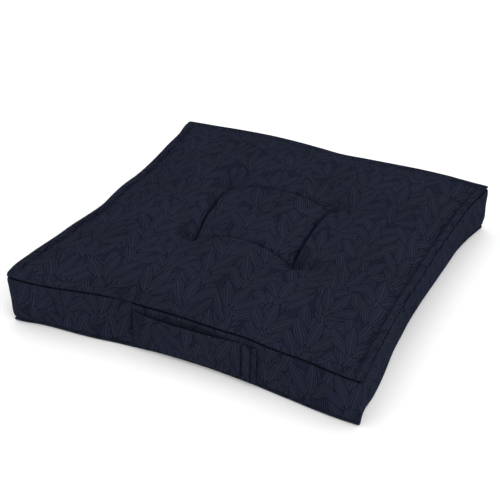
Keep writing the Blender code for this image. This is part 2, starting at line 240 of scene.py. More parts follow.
def lifted(points):
    """Raises the cover where its upper edge stands higher."""
    x, y, z = points[..., 0], points[..., 1], points[..., 2]
    rear = REAR_LIFT * ease((y - 0.11) / 0.12) * (1 - np.clip(np.abs(x) / HALF, 0, 1) ** 4)
    corner = CORNER_LIFT * np.exp(-(((x + HALF) / 0.03) ** 2) - ((y + 0.205) / 0.045) ** 2)
    points = points.copy()
    points[..., 2] = z + (rear + corner) * np.clip(z / TOP_SEAM, 0, 1)
    return points


def lower_plan(a, b):
    return plan(a, b, LOWER_PULLS, CAD_LOWER_PULL)


def bowed(a, b):
    """The creases between the two front tufts and between the two rear ones curve towards the rear."""
    between = np.cos(0.5 * math.pi * np.clip(a / TUFT_PLACE, -1, 1))
    near = NEAR_BOW * np.exp(-(((b + TUFT_PLACE) / BOW_REACH) ** 2))
    far = FAR_BOW * np.exp(-(((b - TUFT_PLACE) / BOW_REACH) ** 2))
    return between * (near + far)


def folded(a, b):
    """Folds the grid back under the tip, and gives each point's distance from the tip."""
    most = np.maximum(np.abs(a), np.abs(b))
    inner = np.minimum(most, 2 * HALF - most)
    start = HALF - 0.015

    def fold(value):
        size = np.abs(value)
        squeezed = start + (size - start) * (inner - start) / np.maximum(most - start, 1e-9)
        return np.where((most > HALF) & (size > start), np.sign(value) * squeezed, value)

    return fold(a), fold(b), HALF - most


# ---- meshes


def grid_corners(rows, columns, wrap=False):
    r, c = np.meshgrid(np.arange(rows - 1), np.arange(columns - (not wrap)), indexing="ij")
    corners = [(r, c), (r, c + 1), (r + 1, c + 1), (r + 1, c)]
    return np.stack([i * columns + j % columns for i, j in corners], -1).reshape(-1, 4)


def make_object(name, points, faces, uv, material):
    """A mesh object; uv has one point for each corner of each face, in metres of cloth."""
    mesh = bpy.data.meshes.new(name)
    mesh.from_pydata(np.asarray(points).tolist(), [], [list(map(int, face)) for face in faces])
    layer = mesh.uv_layers.new(name="cloth")
    layer.data.foreach_set("uv", np.asarray(uv, np.float32).ravel())
    mesh.materials.append(material)
    mesh.shade_smooth()
    obj = bpy.data.objects.new(name, mesh)
    bpy.context.scene.collection.objects.link(obj)
    return obj


def facing_out(points, faces):
    """Turns the faces round if the closed body they make is inside out."""
    p = points[np.array(faces)]
    volume = np.einsum("ij,ij->i", p[:, 0], np.cross(p[:, 1], p[:, 2])).sum()
    volume += np.einsum("ij,ij->i", p[:, 0], np.cross(p[:, 2], p[:, 3])).sum()
    return faces if volume > 0 else faces[:, ::-1]


def normals_of(points):
    """Unit normals of a grid of points."""
    down, across = np.gradient(points, axis=0), np.gradient(points, axis=1)
    normal = np.cross(across, down)
    return normal / np.maximum(np.linalg.norm(normal, axis=-1, keepdims=True), 1e-12)


def sheet_between(name, outer, inner, flat, material):
    """A closed body between two grids of points."""
    rows, columns = outer.shape[:2]
    count = rows * columns
    points = np.concatenate([outer.reshape(-1, 3), inner.reshape(-1, 3)])
    top = grid_corners(rows, columns)
    number = np.arange(count).reshape(rows, columns)
    ring = np.concatenate([number[0, :-1], number[:-1, -1], number[-1, :0:-1], number[:0:-1, 0]])
    after = np.roll(ring, -1)
    rim = np.stack([after, ring, ring + count, after + count], -1)
    faces = facing_out(points, np.concatenate([top, top[:, ::-1] + count, rim]))
    return make_object(name, points, faces, flat.reshape(-1, 2)[faces % count], material)


def cloth_sheet(name, outer, flat, material, thickness=CLOTH):
    """A sheet of cloth with its outer face on the points, its thickness towards the middle of the cushion."""
    normal = normals_of(outer)
    away = outer - np.array([0, 0, TOP_SEAM / 2])
    if np.sum(normal * away) < 0:
        normal = -normal
    return sheet_between(name, outer, outer - thickness * normal, flat, material)


def rings_round(middle, first, second, radius, sides):
    """Rings of points round a line of points; first and second are the directions across it."""
    turn = 2 * math.pi * np.arange(sides) / sides
    circle = first[:, None] * np.cos(turn)[:, None] + second[:, None] * np.sin(turn)[:, None]
    return middle[:, None] + radius * circle


def tube_places(corners, sides):
    """Ring and place on it of each corner of a tube's faces, the last place running on to the first."""
    ring, place = np.divmod(corners, sides)
    place[:, 1:3] = np.where(place[:, 1:3] == 0, sides, place[:, 1:3])
    return ring, place


# A stitch's thread, as (share of its length, share of its radius, height over the surface)
STITCH_STATIONS = (
    (0.0, 0.35, -0.5), (0.12, 0.85, 0.3), (0.35, 1.0, 1.0), (0.65, 1.0, 1.0), (0.88, 0.85, 0.3),
    (1.0, 0.35, -0.5),
)
STITCH_LIFT = 0.0002
STITCH_SIDES, TUBE_SIDES = 6, 8


def stitches(name, starts, ends, out, material, radius=0.00045):
    """Short lengths of thread on a surface, sunk into it at their ends; out is its outward normal."""
    sides = STITCH_SIDES
    starts, ends, out = (np.asarray(v, float) for v in (starts, ends, out))
    along = ends - starts
    length = np.linalg.norm(along, axis=1, keepdims=True)
    across = np.cross(along / length, out)
    rings = []
    for place, size, rise in STITCH_STATIONS:
        middle = starts + along * place + out * (STITCH_LIFT * rise)
        rings.append(rings_round(middle, across, out, radius * size, sides))
    points = np.stack(rings, 1)
    one = grid_corners(len(STITCH_STATIONS), sides, wrap=True)
    per = len(STITCH_STATIONS) * sides
    faces, uv = [], []
    caps = [list(range(sides - 1, -1, -1)), list(range(per - sides, per))]
    rows, columns = tube_places(one, sides)
    places = np.array([station[0] for station in STITCH_STATIONS])
    for number in range(len(starts)):
        faces += (one + number * per).tolist()
        faces += [[corner + number * per for corner in cap] for cap in caps]
        u = places[rows] * length[number, 0]
        v = columns * (2 * math.pi * radius / sides)
        uv.append(np.stack([u, v], -1).reshape(-1, 2))
        uv.append(np.zeros((2 * sides, 2)))
    return make_object(name, points.reshape(-1, 3), faces, np.concatenate(uv), material)


def closed_tube(name, points, material):
    """A closed body from rings of points that run round a loop."""
    rows, sides = points.shape[:2]
    number = np.arange(rows * sides).reshape(rows, sides)
    after, beside = np.roll(number, -1, 0), np.roll(number, -1, 1)
    faces = np.stack([number, beside, np.roll(after, -1, 1), after], -1).reshape(-1, 4)
    points = points.reshape(-1, 3)
    faces = facing_out(points, faces)
    return make_object(name, points, faces, points[faces][..., [0, 2]], material)


def running_stitches(path, out, pitch, share):
    """Starts, ends and normals of stitches along a line of points."""
    steps = np.linalg.norm(np.diff(path, axis=0), axis=1)
    reach = np.concatenate([[0], np.cumsum(steps)])
    count = int(reach[-1] / pitch)
    pitch = reach[-1] / count
    at = np.arange(count) * pitch + pitch * (1 - share) / 2

    def point(values, distance):
        return np.stack([np.interp(distance, reach, values[:, i]) for i in range(3)], -1)

    normal = point(out, at + pitch * share / 2)
    normal /= np.linalg.norm(normal, axis=1, keepdims=True)
    return point(path, at), point(path, at + pitch * share), normal


# ---- materials


class Nodes:
    """A short way to build a node tree."""

    def __init__(self, tree):
        self.tree = tree

    def add(self, kind, inputs=None, **settings):
        node = self.tree.nodes.new(kind)
        for name, value in settings.items():
            setattr(node, name, value)
        for name, value in (inputs or {}).items():
            self.put(value, node.inputs[name])
        return node

    def put(self, value, socket):
        if isinstance(value, bpy.types.NodeSocket):
            self.tree.links.new(value, socket)
        else:
            socket.default_value = value

    def math(self, operation, *values, clamp=False):
        node = self.add("ShaderNodeMath", operation=operation, use_clamp=clamp)
        for value, socket in zip(values, node.inputs):
            self.put(value, socket)
        return node.outputs[0]

    def times(self, first, second):
        return self.math("MULTIPLY", first, second)

    def plus(self, first, second):
        return self.math("ADD", first, second)

    def minus(self, first, second):
        return self.math("SUBTRACT", first, second)

    def vector(self, operation, *values):
        node = self.add("ShaderNodeVectorMath", operation=operation)
        for value, socket in zip(values, node.inputs):
            self.put(value, socket)
        return node.outputs["Value" if operation in ("LENGTH", "DOT_PRODUCT") else "Vector"]

    def ramp(self, value, low, high, start=0.0, end=1.0):
        node = self.add("ShaderNodeMapRange", {"Value": value, "From Min": low, "From Max": high}, clamp=True)
        self.put(start, node.inputs["To Min"])
        self.put(end, node.inputs["To Max"])
        return node.outputs[0]

    def mix(self, share, first, second, blend="MIX"):
        node = self.add("ShaderNodeMix", data_type="RGBA", blend_type=blend)
        for value, socket in ((share, node.inputs[0]), (first, node.inputs[6]), (second, node.inputs[7])):
            self.put(value, socket)
        return node.outputs[2]

    def cloth_spot(self):
        return self.add("ShaderNodeUVMap", uv_map="cloth").outputs["UV"]

    def split(self, vector):
        return self.add("ShaderNodeSeparateXYZ", {"Vector": vector}).outputs

    def raise_surface(self, shader, height, strength=1.0):
        bumped = self.add("ShaderNodeBump", {"Height": height, "Distance": 1.0, "Strength": strength})
        self.put(bumped.outputs["Normal"], shader.inputs["Normal"])

    def noise(self, vector, scale, detail=2.0, roughness=0.5):
        inputs = {"Vector": vector, "Scale": scale, "Detail": detail, "Roughness": roughness}
        return self.add("ShaderNodeTexNoise", inputs, noise_dimensions="2D").outputs["Fac"]


def new_material(name, **values):
    """A material with its shader's own sockets set, and the tools to add nodes to it."""
    material = bpy.data.materials.new(name)
    material.use_nodes = True
    shader = material.node_tree.nodes["Principled BSDF"]
    for socket, value in values.items():
        shader.inputs[socket.replace("_", " ")].default_value = value
    return material, Nodes(material.node_tree), shader


LEAF_SECTOR = math.radians(34)
LEAF_HALF_WIDTH = 0.0081
LEAF_RIM = 0.0013
HATCH_PITCH = 0.0030


def hatching(n, distance):
    """Parallel lines, 1 on a line and 0 between two."""
    return n.ramp(n.math("SINE", n.times(distance, 2 * math.pi / HATCH_PITCH)), -0.6, 0.5)


def leaf_group():
    """A layer of fans of long round-ended leaves that open upwards: what is leaf, its hatching, its tint."""
    tree = bpy.data.node_groups.new("leaf_fans", "ShaderNodeTree")
    for name, kind, way in (
        ("Vector", "NodeSocketVector", "INPUT"), ("Cell", "NodeSocketFloat", "INPUT"),
        ("Leaf", "NodeSocketFloat", "OUTPUT"), ("Rim", "NodeSocketFloat", "OUTPUT"),
        ("Hatch", "NodeSocketFloat", "OUTPUT"), ("Tint", "NodeSocketFloat", "OUTPUT"),
    ):
        tree.interface.new_socket(name, in_out=way, socket_type=kind)
    n = Nodes(tree)
    given, made = n.add("NodeGroupInput"), n.add("NodeGroupOutput")
    spot, cell = given.outputs["Vector"], given.outputs["Cell"]
    inputs = {"Vector": spot, "Scale": n.math("DIVIDE", 1.0, cell), "Randomness": 0.45}
    voronoi = n.add("ShaderNodeTexVoronoi", inputs, voronoi_dimensions="2D", feature="F1")
    colour = n.add("ShaderNodeSeparateColor", {"Color": voronoi.outputs["Color"]})
    local = n.vector("SUBTRACT", spot, voronoi.outputs["Position"])
    turn = n.times(n.minus(colour.outputs["Red"], 0.5), 0.7)
    turned = n.add("ShaderNodeVectorRotate", {"Vector": local, "Angle": turn}, rotation_type="Z_AXIS")
    part = n.split(turned.outputs["Vector"])
    x = part["X"]
    y = n.plus(part["Y"], n.times(cell, 0.42))
    angle = n.math("ARCTAN2", x, y)
    number = n.math("ROUND", n.math("DIVIDE", angle, LEAF_SECTOR))
    number = n.math("MINIMUM", n.math("MAXIMUM", number, -1.0), 1.0)
    off = n.minus(angle, n.times(number, LEAF_SECTOR))
    radius = n.math("SQRT", n.plus(n.times(x, x), n.times(y, y)))
    along = n.times(radius, n.math("COSINE", off))
    aside = n.math("ABSOLUTE", n.times(radius, n.math("SINE", off)))
    share = n.minus(n.math("DIVIDE", along, n.times(cell, 0.80)), 0.20)
    swell = n.times(n.times(share, n.minus(1.0, share)), 4.0)
    width = n.times(n.math("POWER", n.math("MAXIMUM", swell, 0.0), 0.6), LEAF_HALF_WIDTH)
    leaf = n.ramp(n.minus(width, aside), 0.0, 0.0008)
    rim = n.ramp(n.minus(n.plus(width, LEAF_RIM), aside), 0.0, 0.0006)
    n.put(n.times(rim, n.ramp(swell, -0.16, -0.06)), made.inputs["Rim"])
    n.put(leaf, made.inputs["Leaf"])
    n.put(hatching(n, aside), made.inputs["Hatch"])
    tint = n.math("FRACT", n.plus(colour.outputs["Green"], n.times(number, 0.37)))
    n.put(tint, made.inputs["Tint"])
    return tree


GROUND = (0.0060, 0.0080, 0.0152, 1.0)
UNDER_LEAF = (0.0144, 0.0174, 0.0290, 1.0)
LEAF_BLUE = (0.0176, 0.0209, 0.0340, 1.0)
LEAF_GREY = (0.0170, 0.0206, 0.0318, 1.0)
LEAF_PURPLE = (0.0182, 0.0199, 0.0368, 1.0)
HATCH_SHADE = 0.72
WEAVE_PITCH, LABEL_PITCH, PLY_PITCH = 0.0011, 0.0006, 0.0009


def weave(n, spot, pitch):
    """Plain weave: the height of the yarns that pass over and under each other."""
    part = n.split(spot)
    across = n.math("SINE", n.times(part["X"], 2 * math.pi / pitch))
    along = n.math("SINE", n.times(part["Y"], 2 * math.pi / pitch))
    return n.times(across, along)


def hatched_cells(n, spot):
    """Patches of straight parallel hatching, each at its own angle, that fill the gaps between the leaves."""
    inputs = {"Vector": spot, "Scale": 40.0}
    cells = n.add("ShaderNodeTexVoronoi", inputs, voronoi_dimensions="2D", feature="F1")
    tone = n.add("ShaderNodeSeparateColor", {"Color": cells.outputs["Color"]}).outputs["Red"]
    turn = n.times(n.minus(tone, 0.5), 2.2)
    turned = n.add("ShaderNodeVectorRotate", {"Vector": spot, "Angle": turn}, rotation_type="Z_AXIS")
    return hatching(n, n.split(turned.outputs["Vector"])["X"])


def cover_cloth():
    values = {"Roughness": 0.95, "Specular_IOR_Level": 0.0, "Diffuse_Roughness": 0.5}
    material, n, shader = new_material("cover_cloth", **values)
    spot = n.cloth_spot()
    inputs = {"Vector": spot, "Scale": 30.0, "Detail": 1.0}
    wobble = n.add("ShaderNodeTexNoise", inputs, noise_dimensions="2D")
    bend = n.vector("SUBTRACT", wobble.outputs["Color"], (0.5, 0.5, 0.5))
    bent = n.vector("ADD", spot, n.vector("MULTIPLY", bend, (0.004, 0.004, 0.0)))
    zone = n.noise(spot, 11.0, 1.0, 0.5)
    group = leaf_group()
    colour = n.mix(hatched_cells(n, spot), GROUND, UNDER_LEAF)
    relief = 0.0
    for cell, shift in ((0.057, 0.0), (0.060, 0.333), (0.055, 0.721), (0.059, 1.207)):
        moved = n.vector("ADD", bent, (shift, shift * 0.77, 0.0))
        layer = n.add("ShaderNodeGroup", {}, node_tree=group)
        n.put(moved, layer.inputs["Vector"])
        n.put(cell, layer.inputs["Cell"])
        tint, leaf, hatch = layer.outputs["Tint"], layer.outputs["Leaf"], layer.outputs["Hatch"]
        colour = n.mix(n.times(layer.outputs["Rim"], 0.85), colour, GROUND)
        tone = n.mix(n.ramp(tint, 0.35, 0.45), LEAF_BLUE, LEAF_GREY)
        purple = n.times(n.ramp(tint, 0.50, 0.55), n.ramp(zone, 0.40, 0.56))
        tone = n.mix(purple, tone, LEAF_PURPLE)
        tone = n.mix(n.times(n.minus(1.0, hatch), HATCH_SHADE), tone, GROUND)
        colour = n.mix(leaf, colour, tone)
        height = n.times(leaf, hatch)
        relief = n.plus(n.times(relief, n.minus(1.0, leaf)), height)
    yarn = weave(n, spot, WEAVE_PITCH)
    fleck = n.noise(spot, 900.0, 2.0, 0.7)
    patch = n.noise(spot, 14.0, 2.0, 0.5)
    tone_and_weave_shade = n.times(n.ramp(fleck, 0.25, 0.75, 0.80, 1.20), n.ramp(patch, 0.3, 0.7, 0.95, 1.05))
    # Painted shade and highlight: the weave's height also scales the colour, darker on low yarns and lighter
    # on high ones, over random flecks and patches of tone
    tone_and_weave_shade = n.times(tone_and_weave_shade, n.ramp(yarn, -1.0, 1.0, 0.9, 1.1))
    colour = n.mix(1.0, colour, tone_and_weave_shade, "MULTIPLY")
    n.put(colour, shader.inputs["Base Color"])
    height = n.plus(n.times(relief, 0.00012), n.times(yarn, 0.00006))
    height = n.plus(height, n.times(fleck, 0.00008))
    n.raise_surface(shader, height, 0.8)
    return material


def thread_material(name, colour):
    """Twisted thread: slanting lines of painted shade in the grooves between the plies."""
    material, n, shader = new_material(name, Roughness=0.7, Specular_IOR_Level=0.06)
    spot = n.cloth_spot()
    part = n.split(spot)
    slant = n.plus(part["X"], part["Y"])
    ply = n.math("ABSOLUTE", n.math("SINE", n.times(slant, math.pi / PLY_PITCH)))
    # Painted shade: the thread's colour darkens towards the grooves between its plies
    groove_shade = tuple(c * 0.45 for c in colour[:3]) + (1.0,)
    n.put(n.mix(ply, groove_shade, colour), shader.inputs["Base Color"])
    n.raise_surface(shader, n.times(ply, 0.0001))
    return material


def solid_material(name, colours, scale, height, stretch=(1.0, 1.0, 1.0), **values):
    """Foam, wadding, twine and plastic, from noise in the piece's own space."""
    material, n, shader = new_material(name, **values)
    spot = n.add("ShaderNodeTexCoord").outputs["Object"]
    spot = n.vector("MULTIPLY", spot, stretch)
    grain = n.add("ShaderNodeTexNoise", {"Vector": spot, "Scale": scale, "Detail": 4.0}).outputs["Fac"]
    n.put(n.mix(n.ramp(grain, 0.35, 0.65), colours[0], colours[1]), shader.inputs["Base Color"])
    n.raise_surface(shader, n.times(grain, height))
    return material


def label_material():
    """Blank woven satin tape."""
    material, n, shader = new_material("label_tape", Roughness=0.45, Specular_IOR_Level=0.4, Sheen_Weight=0.1)
    spot = n.cloth_spot()
    rib = weave(n, spot, LABEL_PITCH)
    # Painted shade and highlight: the tape is darker on its low yarns and lighter on its high ones, following
    # the weave's height
    tone = n.mix(n.ramp(rib, -1.0, 1.0), (0.56, 0.55, 0.52, 1.0), (0.72, 0.71, 0.68, 1.0))
    n.put(tone, shader.inputs["Base Color"])
    n.raise_surface(shader, n.times(rib, 0.00004))
    return material


def floor_material():
    material, n, shader = new_material("floor", Roughness=0.9, Specular_IOR_Level=0.0)
    spot = n.add("ShaderNodeTexCoord").outputs["Object"]
    grain = n.add("ShaderNodeTexNoise", {"Vector": spot, "Scale": 3.0}).outputs["Fac"]
    n.put(n.mix(grain, (0.93, 0.93, 0.93, 1.0), (0.97, 0.97, 0.97, 1.0)), shader.inputs["Base Color"])
    return material


CLOTH_LOOK = cover_cloth()
THREAD_LOOK = thread_material("sewing_thread", (0.0092, 0.0118, 0.0200, 1.0))
LABEL_LOOK = label_material()
DARK_TWINE = (0.0050, 0.0062, 0.0110, 1.0), (0.0110, 0.0135, 0.0220, 1.0)
TWINE_LOOK = solid_material(
    "waxed_twine", DARK_TWINE, 900.0, 0.0002, (1.0, 1.0, 0.3), Roughness=0.7, Specular_IOR_Level=0.1
)
PALE_WADDING = (0.62, 0.62, 0.60, 1.0), (0.85, 0.85, 0.83, 1.0)
WADDING_LOOK = solid_material("fibre_wadding", PALE_WADDING, 320.0, 0.001, (1.0, 1.0, 3.0), Roughness=0.95)
YELLOW_FOAM = (0.60, 0.50, 0.26, 1.0), (0.82, 0.72, 0.44, 1.0)
FOAM_LOOK = solid_material("open_cell_foam", YELLOW_FOAM, 1400.0, 0.0006, Roughness=0.95)
DARK_PLASTIC = (0.016, 0.017, 0.020, 1.0), (0.023, 0.024, 0.028, 1.0)
BUTTON_LOOK = solid_material("moulded_button", DARK_PLASTIC, 220.0, 0.00005, Roughness=0.42)


# ---- the upper panel


def edge_lines(roll):
    return [HALF - distance for distance, _ in reversed(roll)]


def upper_lines():
    """Grid lines across the upper panel, closer together at the creases and running on under the tip."""
    half = [np.linspace(0, 0.0706, 20), np.linspace(0.0706, 0.0794, 12)[1:]]
    half += [np.linspace(0.0794, HALF - VALLEY, 43)[1:-1], edge_lines(UPPER_ROLL)]
    half = np.concatenate(half)
    return np.concatenate([-half[:0:-1], half])


def lower_lines():
    half = np.concatenate([np.linspace(0, HALF - VALLEY, 41)[:-1], edge_lines(LOWER_ROLL)])
    return np.concatenate([-half[:0:-1], half])


def crease_profile(along):
    """How high a crease between two tufts rises, along being 0 to 1 between them."""
    return np.sin(math.pi * np.clip(along, 0, 1)) ** 0.8


PANEL_CELLS = 41  # from the middle to the valley, for the cloth simulation
TUFT_CELLS = 13  # from the middle to a tuft
STEP = TUFT_PLACE / TUFT_CELLS
TUFT_TOP = 0.0744
SADDLE = 0.0885  # height of a crease halfway between two tufts
CROWN = 0.0200


def from_tuft(a, b):
    """Distance on the flat panel from the nearest tuft, and the angle round it."""
    aside, along = np.abs(a) - TUFT_PLACE, np.abs(b) - TUFT_PLACE
    return np.hypot(aside, along), np.arctan2(along, aside)


def start_shape(a, b):
    """The panel before it is inflated."""
    crown = (1 - np.abs(a / HALF) ** 3.4) * (1 - np.abs(b / HALF) ** 3.4)
    z = TOP_SEAM + 0.001 + CROWN * crown
    far, _ = from_tuft(a, b)
    top = TOP_SEAM + 0.001 + CROWN * (1 - 0.3**3.4) ** 2
    return z - (top - TUFT_TOP) * np.clip(1 - far / 0.055, 0, 1) ** 1.8


def inflate_panel():
    """The upper panel on a coarse grid inside the valley, filled by Blender's cloth with air pressure.
    It is held at the valley, at the four tufts and along the creases that the twine pulls between them."""
    lines = STEP * np.arange(-PANEL_CELLS, PANEL_CELLS + 1)
    a, b = np.meshgrid(lines, lines)
    x, y = upper_plan(a, b)
    z = start_shape(a, b)
    held = np.maximum(np.abs(a), np.abs(b)) > HALF - VALLEY - STEP / 2
    z = np.where(held, TOP_SEAM + UPPER_ROLL[-1][1], z)
    for along, across in ((b, a), (a, b)):
        for way in (-1, 1):
            crease = (np.abs(across - way * TUFT_PLACE) < STEP / 2) & (np.abs(along) < TUFT_PLACE + STEP / 2)
            share = (along + TUFT_PLACE) / (2 * TUFT_PLACE)
            z = np.where(crease, TUFT_TOP + (SADDLE - TUFT_TOP) * crease_profile(share), z)
            held = held | crease
    start = np.stack([x, y, z], -1)
    flat = np.stack([a * 1.03, b * 1.03, np.full_like(a, TOP_SEAM)], -1)
    return run_cloth(start, flat, held)


def run_cloth(start, flat, held):
    rows, columns = start.shape[:2]
    mesh = bpy.data.meshes.new("inflating")
    mesh.from_pydata(start.reshape(-1, 3).tolist(), [], grid_corners(rows, columns).tolist())
    obj = bpy.data.objects.new("inflating", mesh)
    bpy.context.scene.collection.objects.link(obj)
    group = obj.vertex_groups.new(name="held")
    group.add([int(i) for i in np.nonzero(held.ravel())[0]], 1.0, "REPLACE")
    obj.shape_key_add(name="Basis")
    key = obj.shape_key_add(name="flat")
    key.data.foreach_set("co", flat.astype(np.float32).ravel())
    key.value = 0
    cloth = obj.modifiers.new("Cloth", "CLOTH")
    settings = cloth.settings
    settings.quality = 6
    settings.mass = 0.006
    settings.tension_stiffness = settings.compression_stiffness = 15
    settings.shear_stiffness = 5
    settings.bending_stiffness = 0.08
    settings.tension_damping = settings.compression_damping = settings.shear_damping = 10
    settings.air_damping = 1.0
    settings.use_pressure = True
    settings.uniform_pressure_force = 8
    settings.vertex_group_mass = "held"
    settings.pin_stiffness = 1
    settings.rest_shape_key = key
    settings.effector_weights.gravity = 0
    cloth.collision_settings.use_collision = False
    frames = 22
    cloth.point_cache.frame_start, cloth.point_cache.frame_end = 1, frames
    for number in range(1, frames + 1):
        bpy.context.scene.frame_set(number)
    done = obj.evaluated_get(bpy.context.evaluated_depsgraph_get()).data
    found = np.zeros(rows * columns * 3, np.float32)
    done.vertices.foreach_get("co", found)
    bpy.data.objects.remove(obj, do_unlink=True)
    bpy.context.scene.frame_set(1)
    return found.reshape(rows, columns, 3).astype(float)


def resampled(values, places):
    """Values on the coarse grid, read off at other places by cubic interpolation."""
    count = len(values)
    at = np.clip(places / STEP + (count - 1) / 2, 0, count - 1)
    left = np.minimum(at.astype(int), count - 2)
    t = at - left
    shares = (
        (2 * t**2 - t - t**3) / 2,
        1 + (3 * t**3 - 5 * t**2) / 2,
        (t + 4 * t**2 - 3 * t**3) / 2,
        (t**3 - t**2) / 2,
    )
    wide = np.zeros((len(places), count + 2))
    for shift, share in enumerate(shares):
        wide[np.arange(len(places)), left + shift] += share
    matrix = wide[:, 1:-1].copy()
    matrix[:, 0] += 2 * wide[:, 0]
    matrix[:, 1] -= wide[:, 0]
    matrix[:, -1] += 2 * wide[:, -1]
    matrix[:, -2] -= wide[:, -1]
    return np.einsum("ia,jb,abk->ijk", matrix, matrix, values)


# The sharp bottom of each crease, as depths at its start, middle and end. Left and right run front to
# rear, front and rear run left to right.
CREASES = {
    "left": (0.0100, 0.0095, 0.0015),
    "right": (0.0104, 0.0112, 0.0060),
    "front": (0.0016, 0.0028, 0.0056),
    "rear": (0.0012, 0.0026, 0.0066),
}
CREASE_WIDTH = 0.0039
PIT_DEPTH, PIT_REACH = 0.0052, 0.0045  # the pit at each tuft
SIDE_ROLL = 0.0016  # how much fuller the edge roll is on the left and right


def crease_depth(a, b):
    total = np.zeros_like(a)
    for along, across, sides in ((b, a, ("left", "right")), (a, b, ("front", "rear"))):
        for way, side in zip((-1, 1), sides):
            depth = np.interp(along / TUFT_PLACE, (-1, 0, 1), CREASES[side])
            ends = ease((TUFT_PLACE + 0.006 - np.abs(along)) / 0.006)
            groove = np.clip(1 - np.abs(across - way * TUFT_PLACE) / CREASE_WIDTH, 0, 1) ** 1.8
            total = np.maximum(total, depth * ends * groove)
    far, _ = from_tuft(a, b)
    return np.maximum(total, PIT_DEPTH * np.exp(-((far / PIT_REACH) ** 2)))


# Soft folds that run out from a tuft: (start, end, depth, half width), on the flat panel
FOLDS = (
    ((0.075, -0.075), (0.165, -0.090), 0.0082, 0.009),
    ((-0.075, -0.075), (-0.114, -0.090), 0.0064, 0.009),
    ((0.075, 0.075), (0.118, 0.082), 0.0052, 0.008),
    ((0.075, 0.075), (0.063, 0.126), 0.0064, 0.007),
    ((-0.075, 0.075), (-0.108, 0.090), 0.0040, 0.009),
    ((-0.075, -0.075), (-0.080, -0.120), 0.0024, 0.008),
    ((0.075, -0.075), (0.084, -0.112), 0.0028, 0.008),
)


def fold_depth(a, b):
    total = np.zeros_like(a)
    for start, end, depth, width in FOLDS:
        line = np.subtract(end, start)
        length = np.hypot(*line)
        along = ((a - start[0]) * line[0] + (b - start[1]) * line[1]) / length
        aside = ((a - start[0]) * line[1] - (b - start[1]) * line[0]) / length
        fade = ease(1 - along / length) * ease((along + 0.004) / 0.012)
        total += depth * fade * np.exp(-((aside / width) ** 2))
    return total


def seam_puckers(along, seed):
    """Small gathers that the stitching makes, as a height between about -1 and 1."""
    return waves(along, seed, 0.036, 0.011, 6)


def side_weight(a, b):
    """1 on the left and right edges and 0 on the front and rear ones."""
    return ease(0.5 + (np.abs(a) - np.abs(b)) / 0.05)


def upper_panel():
    lines = upper_lines()
    a, b = np.meshgrid(lines, lines)
    fa, fb, tip = folded(a, b)
    x, y = upper_plan(fa, fb)
    sides = side_weight(a, b)
    z = TOP_SEAM + curve_at(tip, UPPER_ROLL) + SIDE_ROLL * sides * bump(tip, 0.0074, 0.0060)
    points = np.stack([x, y, z], -1)
    inner = np.abs(lines) < HALF - VALLEY + 1e-6
    points[np.ix_(inner, inner)] = resampled(inflate_panel(), lines[inner])
    far, turn = from_tuft(a, b)
    which = 1 + (a > 0) + 2 * (b > 0)
    pleats = np.sin(7 * turn + 1.7 * which) + 0.6 * np.sin(11 * turn + 2.9 * which)
    depth = fold_depth(a, b) + crease_depth(a, b)
    depth += 0.0006 * pleats * ease((far - 0.004) / 0.008) * ease((0.040 - far) / 0.030)
    depth += (0.0003 + 0.0036 * sides) * np.exp(-(((tip - VALLEY) / 0.0032) ** 2))
    rise = 0.0009 * lumps(a, b, 3, 0.11, 0.04) * ease((tip - VALLEY) / 0.02)
    round_edge = np.where(np.abs(a) > np.abs(b), b + 0.7 * np.sign(a), a + 0.3 * np.sign(b))
    gathers = seam_puckers(round_edge, 11)
    near_seam = np.exp(-(np.clip(tip - VALLEY, 0, 1) / 0.012)) * (tip > VALLEY)
    roll_part = ease(tip / 0.004) * (tip <= VALLEY)
    rise += 0.0006 * gathers * near_seam + 0.0003 * gathers * roll_part
    points[..., 2] += rise - depth
    puffed = np.exp(-(((points[..., 0] + HALF) / 0.022) ** 2) - ((points[..., 1] + HALF) / 0.030) ** 2)
    points[..., 2] += CORNER_PUFF * puffed * ease(tip / 0.003)
    points = lifted(points)
    flat = np.stack([a, b], -1) + 1.0
    return cloth_sheet("top_panel_cloth", points, flat, CLOTH_LOOK), lines, points


EDGE_STITCH_SHARE = 0.72  # how much of a stitch's pitch its thread covers
TOP_PITCH, BOTTOM_PITCH = 0.0046, 0.0060


def stitch_line(lines, points, side):
    """The points and normals of one side's valley on a panel grid."""
    number = int(np.argmin(np.abs(lines + HALF - VALLEY)))
    last = len(lines) - 1 - number
    normal = normals_of(points)
    if normal[len(lines) // 2, len(lines) // 2, 2] * (points[..., 2].mean() - 0.03) < 0:
        normal = -normal
    part = slice(number, last + 1)
    rows = {"front": (number, part), "right": (part, last), "rear": (last, part), "left": (part, number)}
    return points[rows[side]], normal[rows[side]]


def edge_stitches(name, lines, points, pitch):
    groups = [running_stitches(*stitch_line(lines, points, side), pitch, EDGE_STITCH_SHARE) for side in SIDES]
    joined = [np.concatenate(parts) for parts in zip(*groups)]
    return stitches(name, *joined, THREAD_LOOK)


def lowest_nearby(values):
    """The lowest value on a grid within a few lines of each point."""
    reach = 3
    wide = np.pad(values, reach, mode="edge")
    size = 2 * reach + 1
    return np.lib.stride_tricks.sliding_window_view(wide, (size, size)).min((2, 3))


def wadding_layer(name, lines, points, level, plan_of):
    """A layer of wadding between a panel and the foam, cut to the shape that the panel has."""
    keep = np.nonzero(np.abs(lines) < HALF - VALLEY - 0.001)[0][::2]
    part = points[np.ix_(keep, keep)]
    a, b = np.meshgrid(lines[keep], lines[keep])
    way = 1 if level > TOP_SEAM / 2 else -1
    z = lowest_nearby(way * part[..., 2]) - CLOTH - 0.0008
    cover_side = part.copy()
    cover_side[..., 2] = way * np.maximum(z, way * level + 0.0004)
    x, y = plan_of(a, b)
    foam_side = np.stack([x, y, np.full_like(x, level)], -1)
    return sheet_between(name, cover_side, foam_side, np.stack([a, b], -1), WADDING_LOOK)


